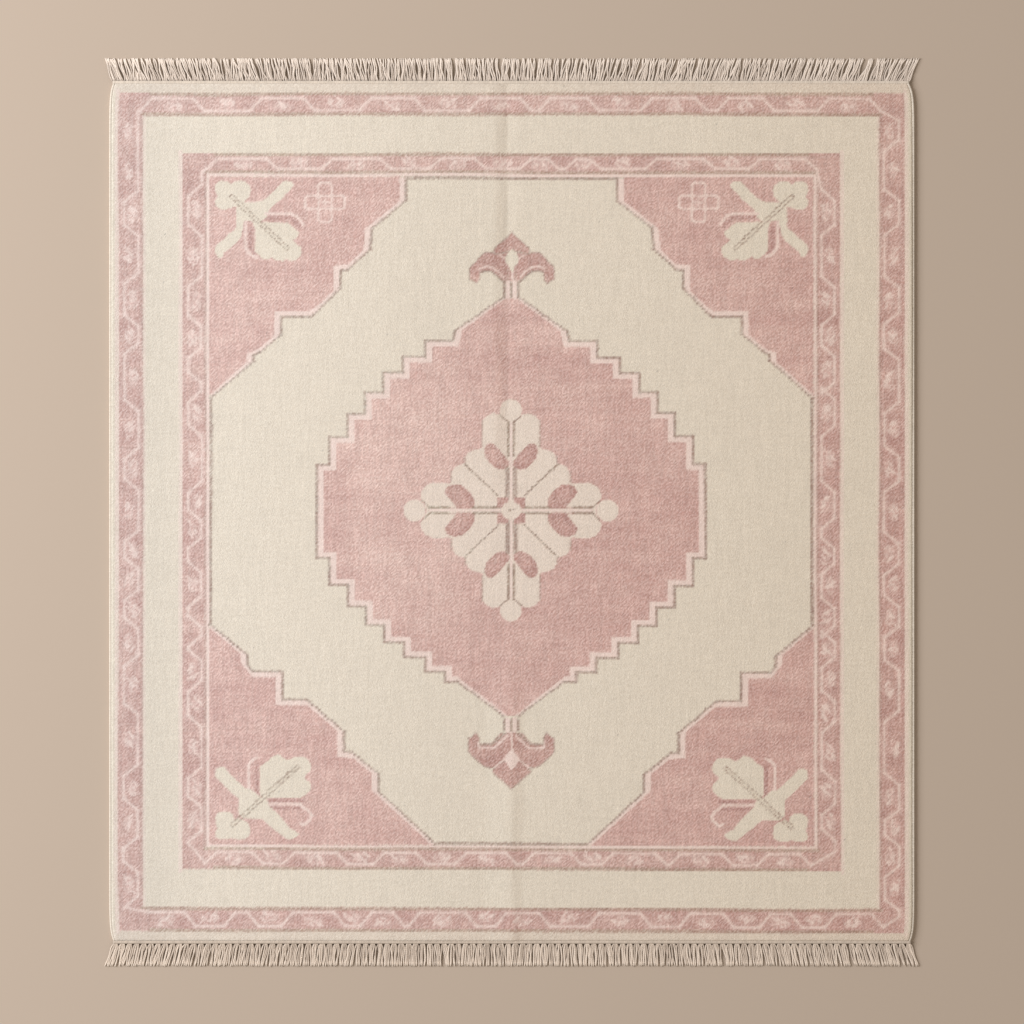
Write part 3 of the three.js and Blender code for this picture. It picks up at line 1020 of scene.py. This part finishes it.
def build_ground(colours, material):
    """The woven ground under the pile: a closed sheet, with the backs of the knots below."""
    columns = np.unique(np.append(np.arange(0, COLUMNS, GROUND_STEP), COLUMNS - 1))
    rows = np.unique(np.append(np.arange(0, ROWS, GROUND_STEP), ROWS - 1))
    pick = np.ix_(rows, columns)
    x, y = cloth_grid(CLOTH_U[pick], CLOTH_V[pick])
    under = np.stack([x, y, np.zeros_like(x)], axis=-1)
    top = under.copy()
    top[..., 2] = GROUND_THICKNESS
    count = under[..., 0].size
    height, width = x.shape
    below = grid_faces(height, width)[:, ::-1]
    numbers = np.arange(count).reshape(height, width)
    rim = np.concatenate([
        numbers[0, :-1], numbers[:-1, -1], numbers[-1, :0:-1], numbers[:0:-1, 0]
    ])
    rim_top = top.reshape(-1, 3)[rim]
    points = np.concatenate([under.reshape(-1, 3), rim_top])
    raised = count + np.arange(len(rim))
    walls = np.stack([rim, np.roll(rim, -1), np.roll(raised, -1), raised], axis=1)
    faces = [tuple(face) for face in below.tolist()]
    faces += [tuple(face) for face in walls.tolist()]
    faces.append(tuple(raised.tolist()))
    mesh = bpy.data.meshes.new("woven_ground")
    mesh.from_pydata(points.tolist(), [], faces)
    shades = colours[pick].reshape(-1, 3)
    colour_points(mesh, np.concatenate([shades, shades[rim]]))
    corners = np.empty(len(mesh.loops), np.int32)
    mesh.loops.foreach_get("vertex_index", corners)
    spread = (points[:, :2] / (2 * HALF_LENGTH) + 0.5) * 0.99 + 0.005
    give_uv(mesh, "OFBake", spread[corners])
    return finish_mesh(mesh, "woven_ground", material, smooth=False)


def sweep(name, paths, rings, shades, material, uv_tiles):
    """Closed bodies round several paths of equally many points, joined in one mesh.
    paths is (body, point, 3); rings is (body, point, side, 2), as offsets to the right and up;
    shades is (body, point, side, 3)."""
    count, steps, sides = rings.shape[:3]
    ahead = np.gradient(paths, axis=1)
    ahead /= np.linalg.norm(ahead, axis=2, keepdims=True)
    right = np.cross(ahead, (0, 0, 1))
    right /= np.linalg.norm(right, axis=2, keepdims=True)
    up = np.cross(right, ahead)
    points = paths[:, :, None] + right[:, :, None] * rings[..., :1] + up[:, :, None] * rings[..., 1:]
    numbers = np.arange(count * steps * sides).reshape(count, steps, sides)
    after = np.roll(numbers, -1, axis=2)
    walls = np.stack([numbers[:, :-1], after[:, :-1], after[:, 1:], numbers[:, 1:]], axis=-1)
    faces = walls.reshape(-1, 4).tolist()
    faces += numbers[:, 0, ::-1].tolist() + numbers[:, -1].tolist()
    mesh = bpy.data.meshes.new(name)
    mesh.from_pydata(points.reshape(-1, 3).tolist(), [], faces)
    colour_points(mesh, shades.reshape(-1, 3))

    # The twist map runs along and round each body; the bake map gives each body one tile
    length = np.zeros((count, steps))
    length[:, 1:] = np.cumsum(np.linalg.norm(np.diff(paths, axis=1), axis=2), axis=1)
    along = length / length[:, -1:]
    columns, rows = uv_tiles
    tile = np.arange(count)[:, None, None]
    left, low = (tile % columns) / columns, (tile // columns) / rows
    twist, bake = [], []
    for step, turn in ((0, 0), (0, 1), (1, 1), (1, 0)):
        here = slice(step, steps - 1 + step)
        round_it = np.broadcast_to((np.arange(sides) + turn) / sides, (count, steps - 1, sides))
        far = np.broadcast_to(length[:, here, None], round_it.shape)
        share = np.broadcast_to(along[:, here, None], round_it.shape)
        twist.append(np.stack([far / PLY_PITCH, round_it], axis=-1))
        bake.append(np.stack([
            left + (0.04 + 0.92 * round_it) / columns, low + (0.04 + 0.92 * share) / rows
        ], axis=-1))
    middle = np.stack([left[:, 0, 0] + 0.5 / columns, low[:, 0, 0] + 0.02 / rows], axis=-1)
    caps = np.repeat(np.concatenate([middle, middle]), sides, axis=0)
    for map_name, corners in (("twist", twist), ("OFBake", bake)):
        uv = np.stack(corners, axis=-2).reshape(-1, 2)
        give_uv(mesh, map_name, np.concatenate([uv, caps]))
    return finish_mesh(mesh, name, material)


def ring_angles(sides):
    return 2 * math.pi * (np.arange(sides) + 0.5) / sides


# Side cords and end twining

# How far a cord or an end strip reaches in over the pile's edge, beyond half its width
TUCK = 1.42
RING_SIDES = 10
# How square an outline is: 0 is a square, 1 is round
INNER_SQUARENESS = 0.45
OUTER_SQUARENESS = 0.9
FRONT_STRIP_SQUARENESS = 0.6


def edge_ring(width, height, inward, outer_squareness=OUTER_SQUARENESS):
    """The outline of a cord or strip that runs on from the pile's edge: square where it meets the
    pile and round outside. inward is 1 where the pile is on its right, and -1 on its left."""
    angles = ring_angles(RING_SIDES)
    inside = np.cos(angles) * inward > 0
    squareness = np.where(inside, INNER_SQUARENESS, outer_squareness)
    across = np.sign(np.cos(angles)) * np.abs(np.cos(angles)) ** squareness * width / 2
    up = np.sign(np.sin(angles)) * np.abs(np.sin(angles)) ** squareness * height / 2
    return np.stack([np.where(inside, across * TUCK, across), up], axis=-1)


def build_side_cord(side, name, material):
    """Warps wound round with wool: every second ring is thinner and painted darker, as shade in the
    groove between wraps, and each wrap has its own tone."""
    rng = np.random.default_rng(41 if side > 0 else 42)
    y = np.linspace(-HALF_LENGTH, HALF_LENGTH, KNOTS_ALONG + 1)
    x = side * (reach_across(y, side) + GAP + CORD_WIDTH / 2)
    path = np.stack([x, y, np.full_like(y, EDGE_HEIGHT / 2)], axis=-1)
    steps = len(y)
    wraps = np.repeat(rng.uniform(-1, 1, steps // 2 + 1), 2)[:steps]
    between = np.arange(steps) % 2
    swell = (1 - 0.05 * between) * (1 + 0.02 * wraps)
    rings = edge_ring(CORD_WIDTH, EDGE_HEIGHT, -side)[None] * swell[:, None, None]
    # Painted shade: the thinner rings between wraps are painted darker, as their grooves lie in shade
    shade = (1 + 0.04 * wraps) * (1 - 0.08 * between)
    shades = shade[:, None, None] * to_linear(CORD_IVORY) * np.ones((1, RING_SIDES, 1))
    return sweep(name, path[None], rings[None], shades[None], material, (1, 1))


# The end strips' ivory: the front one is painted darker, as shade on the side turned away from the
# light
STRIP_IVORY_AND_SHADE = {1: (216, 203, 186), -1: (200, 185, 168)}


def strip_ends(end):
    """Where an end strip starts and stops along X: end is 1 for the back, -1 for the front."""
    edge = end * HALF_LENGTH
    return -reach_across(edge, -1) - GAP - CORD_WIDTH, reach_across(edge, 1) + GAP + CORD_WIDTH


def build_twining(end, name, material):
    """The strip that locks the last row of knots: flat on top, in the cloth's own ivory, painted
    darker at the front as shade and with painted shadow on its lower outer face.
    """
    rng = np.random.default_rng(43 if end > 0 else 44)
    start, stop = strip_ends(end)
    x = np.linspace(start, stop, KNOTS_ACROSS + 1)
    y = np.full_like(x, end * (HALF_LENGTH + GAP + STRIP_DEPTH / 2))
    path = np.stack([x, y, np.full_like(x, EDGE_HEIGHT / 2)], axis=-1)
    squareness = OUTER_SQUARENESS if end > 0 else FRONT_STRIP_SQUARENESS
    ring = edge_ring(STRIP_DEPTH, EDGE_HEIGHT, end, squareness)
    swell = 1 + 0.02 * rng.uniform(-1, 1, len(x))
    rings = ring[None] * swell[:, None, None]
    shade = (1 + 0.10 * rng.uniform(-1, 1, len(x)))[:, None, None] * to_linear(STRIP_IVORY_AND_SHADE[end])
    # Painted shadow: the strip's lower outer face is dark brown, so the notches between the fringe's
    # locks look shaded
    notch_shadow_mask = ((ring[:, 0] * end < 0) & (ring[:, 1] < 0.0015))[None, :, None]
    shades = np.where(notch_shadow_mask, to_linear(NOTCH_SHADOW), shade * np.ones((1, len(ring), 1)))
    return sweep(name, path[None], rings[None], shades[None], material, (1, 1))


# Fringe

STRAND_STEPS = 9
STRAND_SIDES = 4
# How each end's fringe lies: how much a run of locks, a lock and a strand lean their own way, how
# wavy strands are, how high they are piled, and how far apart they leave the cloth
FRINGE_STYLE = {
    1: (0.070, 0.050, 0.115, 0.0014, 0.0024, 0.0020),
    -1: (0.030, 0.034, 0.055, 0.0009, 0.0014, 0.0008),
}
ROOT_HEIGHT = 0.0054
STRAND_PITCH = 0.0024
# Parts of a strand's length over which it opens out of its lock and falls to the floor
OPENING = 0.2
FALL = 0.28
# How much shorter a strand may be, how light or dark it is by nature, and how much lighter its tip
SHORTER = 0.0024
STRAND_SHADES = (0.68, 1.2)
TIP_LIGHT = 0.33
# Painted light and shade on each end's colour, with dust: the back end painted lighter, the front end
# darker and warmer
FRINGE_LIGHT_AND_DUST = {1: (1.03, 1.03, 1.03), -1: (1.0, 0.98, 0.95)}


def build_fringe(end, name, material):
    """Twisted strands, some to a lock, that fan out of narrow roots and lie on the floor."""
    rng = np.random.default_rng(51 if end > 0 else 52)
    run_noise, lock_noise, strand_noise, waviness, pile_up, root_pitch = FRINGE_STYLE[end]
    strands = LOCKS * STRANDS_PER_LOCK
    start, stop = strip_ends(end)
    margin = ROOT_WIDTH / 2 + 0.0006
    lock = np.arange(strands) // STRANDS_PER_LOCK
    share = lock / (LOCKS - 1)
    middle = start + margin + share * (stop - start - 2 * margin)
    own = np.arange(strands) % STRANDS_PER_LOCK - (STRANDS_PER_LOCK - 1) / 2
    settled = np.where((lock == 0) | (lock == LOCKS - 1), 0.3, 1.0)
    corner = np.where(share < 0.5, *np.radians(CORNER_LEAN[end]))
    lean = corner * np.abs(2 * share - 1) ** LEAN_GROWTH[end] * np.sign(share - 0.5)
    stray = run_noise * soft_noise((1, LOCKS), (1, 5), 53 if end > 0 else 54)[0][lock]
    stray += lock_noise * rng.normal(0, 1, LOCKS)[lock].clip(-1.8, 1.8)
    stray += strand_noise * rng.normal(0, 1, strands).clip(-1.8, 1.8)
    lean = lean + settled * stray
    reach = FRINGE_LENGTH - rng.uniform(0, SHORTER, strands)

    along = np.linspace(0, 1, STRAND_STEPS)
    opened = ease(np.minimum(along / OPENING, 1))
    phase, turns = rng.uniform(0, 1, (strands, 1)), rng.uniform(0.5, 1.3, (strands, 1))
    wave = waviness * np.sin(2 * math.pi * (along * turns + phase)) * opened
    spread = own[:, None] * (root_pitch + (STRAND_PITCH - root_pitch) * opened)
    x = middle[:, None] + spread + wave + along * reach[:, None] * np.tan(lean)[:, None]
    y = end * (HALF_LENGTH + GAP + STRIP_DEPTH * 0.7 + along * reach[:, None])
    layer = rng.uniform(0, pile_up, (strands, 1))
    fallen = ease(np.minimum(along / FALL, 1))
    z = STRAND_RADIUS * 1.1 + layer * np.sin(math.pi * np.minimum(along * 1.15, 1))
    z = z * fallen + ROOT_HEIGHT * (1 - fallen)
    paths = np.stack([x, y, z], axis=-1)

    size = STRAND_RADIUS * rng.uniform(0.88, 1.08, (strands, 1))
    size = size * (0.72 + 0.28 * opened) * np.where(along > 0.97, 0.72, 1.0)
    angles = 2 * math.pi * np.arange(STRAND_SIDES) / STRAND_SIDES
    ring = np.stack([np.cos(angles), np.sin(angles)], axis=-1)
    rings = size[:, :, None, None] * ring

    # Painted shade: each strand is painted darker on its sides and underside and near its root, as
    # the light falls, and lighter towards its tip
    lit = np.clip(0.5 + 0.8 * np.sin(angles), 0, 1) * (0.9 + 0.1 * opened)[:, None]
    lit = lit * rng.uniform(*STRAND_SHADES, (strands, 1, 1))
    tip = ease(np.clip(along - 0.7, 0, 0.2) * 5)[:, None]
    lit = np.clip(lit + TIP_LIGHT * tip, 0, 1.1)[..., None]
    shades = to_linear(COTTON_SHADE) * (1 - lit) + to_linear(COTTON_LIGHT) * lit
    shades = shades * np.array(FRINGE_LIGHT_AND_DUST[end])
    return sweep(name, paths, rings, shades, material, (28, 20))


# Materials


YARN_FINISH = {
    "Roughness": 0.95,
    "Specular IOR Level": 0.15,
    "Sheen Weight": 0.12,
    "Sheen Roughness": 0.6,
}


def add_node(tree, kind, inputs, **settings):
    """A shader node. inputs gives each socket its value, or the output that feeds it."""
    node = tree.nodes.new("ShaderNode" + kind)
    for name, value in settings.items():
        setattr(node, name, value)
    for socket, value in inputs.items():
        if isinstance(value, bpy.types.NodeSocket):
            tree.links.new(value, node.inputs[socket])
        else:
            node.inputs[socket].default_value = value
    return node


def yarn_material(name, surface):
    """Cloth that takes its colour from its points, with a soft sheen. surface gives the shade that
    its colour is multiplied by, the height of its bump, and the bump's strength and distance."""
    material = bpy.data.materials.new(name)
    material.use_nodes = True
    tree = material.node_tree
    shader = tree.nodes["Principled BSDF"]
    for socket, value in YARN_FINISH.items():
        shader.inputs[socket].default_value = value
    shade, height, strength, distance = surface(tree)
    yarn = add_node(tree, "VertexColor", {}, layer_name="yarn")
    colours = {"Factor": 1.0, "A": yarn.outputs["Color"], "B": shade}
    mix = add_node(tree, "Mix", colours, data_type="RGBA", blend_type="MULTIPLY")
    relief = add_node(tree, "Bump", {"Strength": strength, "Distance": distance, "Height": height})
    tree.links.new(mix.outputs["Result"], shader.inputs["Base Color"])
    tree.links.new(relief.outputs["Normal"], shader.inputs["Normal"])
    return material


def ramp(tree, value, low, high):
    """A value's middle range as a grey between low and high."""
    limits = {"From Min": 0.3, "From Max": 0.7, "To Min": low, "To Max": high}
    return add_node(tree, "MapRange", {"Value": value, **limits}).outputs["Result"]


def object_place(tree):
    return add_node(tree, "TexCoord", {}).outputs["Object"]


def pile_surface(tree):
    """Cut wool tips: each knot shows two tufts, and each of those has its own shade."""
    place = object_place(tree)
    cell = add_node(tree, "VectorMath", {0: place, 1: (KNOT / 2, KNOT / 2, 1)}, operation="SNAP")
    tuft = add_node(tree, "TexWhiteNoise", {"Vector": cell.outputs["Vector"]})
    shades = {"Value": tuft.outputs["Value"], "To Min": 0.93, "To Max": 1.07}
    shade = add_node(tree, "MapRange", shades)
    grain = add_node(tree, "TexNoise", {"Vector": place, "Scale": 700, "Detail": 2})
    return shade.outputs["Result"], grain.outputs["Fac"], 0.8, 0.0016


def ground_surface(tree):
    """The back: rows of knot loops, with painted shade between the rows."""
    rows = {"Vector": object_place(tree), "Scale": 1 / (10 * KNOT), "Distortion": 0.6}
    loops = add_node(tree, "TexWave", rows, bands_direction="Y").outputs["Fac"]
    return ramp(tree, loops, 0.86, 1.02), loops, 0.6, 0.0012


def ply_surface(tree):
    """Twisted plies: slanting ridges from the yarn's own map, with painted shade in the grooves
    between them.
    """
    twist = add_node(tree, "UVMap", {}, uv_map="twist").outputs["UV"]
    parts = add_node(tree, "SeparateXYZ", {"Vector": twist}).outputs
    total = add_node(tree, "Math", {0: parts["X"], 1: parts["Y"]}, operation="ADD")
    turn = add_node(tree, "Math", {0: total.outputs[0], 1: 4 * math.pi}, operation="MULTIPLY")
    wave = add_node(tree, "Math", {0: turn.outputs[0]}, operation="SINE")
    ridge = add_node(tree, "MapRange", {"Value": wave.outputs[0], "From Min": -1})
    height = ridge.outputs["Result"]
    return ramp(tree, height, 0.95, 1.02), height, 0.15, 0.0004


# Stage, camera and light

# The photo is 1024 pixels wide, and each shows 1.985 mm
METRES_SEEN = 1024 * 0.001985
CAMERA_HEIGHT = 3.4
VIEW_CENTRE = (0.0002, 0.0004)
FLOOR_COLOUR = (186, 170, 153)
FLOOR_REACH = 20.0
FLOOR_HEIGHT = -0.0002
WORLD_COLOUR = (1.0, 0.90, 0.80, 1)
WORLD_STRENGTH = 0.45
WINDOW_PLACE = (-6.0, 1.6, 4.4)
WINDOW_SIZE = 4.5
WINDOW_POWER = 690
WINDOW_COLOUR = (0.96, 0.98, 1.04)


def build_stage():
    sides = ((-1, -1), (1, -1), (1, 1), (-1, 1))
    corners = [(x * FLOOR_REACH, y * FLOOR_REACH, FLOOR_HEIGHT) for x, y in sides]
    mesh = bpy.data.meshes.new("floor")
    mesh.from_pydata(corners, [], [(0, 1, 2, 3)])
    material = bpy.data.materials.new("floor")
    material.use_nodes = True
    shader = material.node_tree.nodes["Principled BSDF"]
    shader.inputs["Base Color"].default_value = (*to_linear(FLOOR_COLOUR), 1)
    shader.inputs["Roughness"].default_value = 0.8
    shader.inputs["Specular IOR Level"].default_value = 0.1
    mesh.materials.append(material)
    floor = bpy.data.objects.new("floor", mesh)
    bpy.context.scene.collection.objects.link(floor)


def build_window():
    """A large soft light from the left, turned towards the middle of the rug."""
    light = bpy.data.lights.new("window", "AREA")
    light.shape = "SQUARE"
    light.size = WINDOW_SIZE
    light.energy = WINDOW_POWER
    light.color = WINDOW_COLOUR
    obj = bpy.data.objects.new("window", light)
    obj.location = WINDOW_PLACE
    x, y, z = WINDOW_PLACE
    obj.rotation_euler = (math.atan2(math.hypot(x, y), z), 0, math.atan2(-x, y) + math.pi)
    bpy.context.scene.collection.objects.link(obj)


def build_view():
    scene = bpy.context.scene
    camera_data = bpy.data.cameras.new("camera")
    camera_data.sensor_width = 36
    camera_data.lens = 36 * (CAMERA_HEIGHT - THICKNESS) / METRES_SEEN
    camera = bpy.data.objects.new("camera", camera_data)
    camera.location = (*VIEW_CENTRE, CAMERA_HEIGHT)
    scene.collection.objects.link(camera)
    scene.camera = camera

    world = bpy.data.worlds.new("world")
    world.use_nodes = True
    background = world.node_tree.nodes["Background"]
    background.inputs["Color"].default_value = WORLD_COLOUR
    background.inputs["Strength"].default_value = WORLD_STRENGTH
    scene.world = world
    build_window()
    scene.view_settings.view_transform = "Standard"


# Everything together


def main():
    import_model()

    paint_chart()
    colours = weathered_with_painted_light()
    pile_colours = to_linear(colours)
    back_colours = to_linear(colours * 0.93)

    pile_wool = yarn_material("pile_wool", pile_surface)
    ground_wool = yarn_material("ground_wool", ground_surface)
    cotton = yarn_material("fringe_cotton", ply_surface)
    overcast = yarn_material("overcast_wool", ply_surface)

    strips = build_pile(pile_colours, pile_wool)
    ground = build_ground(back_colours, ground_wool)
    cords = [
        build_side_cord(-1, "overcast_left", overcast),
        build_side_cord(1, "overcast_right", overcast),
    ]
    twinings = [
        build_twining(1, "twining_back", cotton),
        build_twining(-1, "twining_front", cotton),
    ]
    fringes = [
        build_fringe(1, "strands_back", cotton),
        build_fringe(-1, "strands_front", cotton),
    ]

    for piece in (*strips, ground):
        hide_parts("knotted_pile")
    for piece, node in zip(cords, ("side_cord_left", "side_cord_right")):
        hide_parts(node)
    for piece, node in zip((*twinings, *fringes), ("fringe_back", "fringe_front") * 2):
        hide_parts(node)
    everything = (*strips, ground, *cords, *twinings, *fringes)
    for piece in everything:
        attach(piece, "root")

    build_stage()
    build_view()


main()
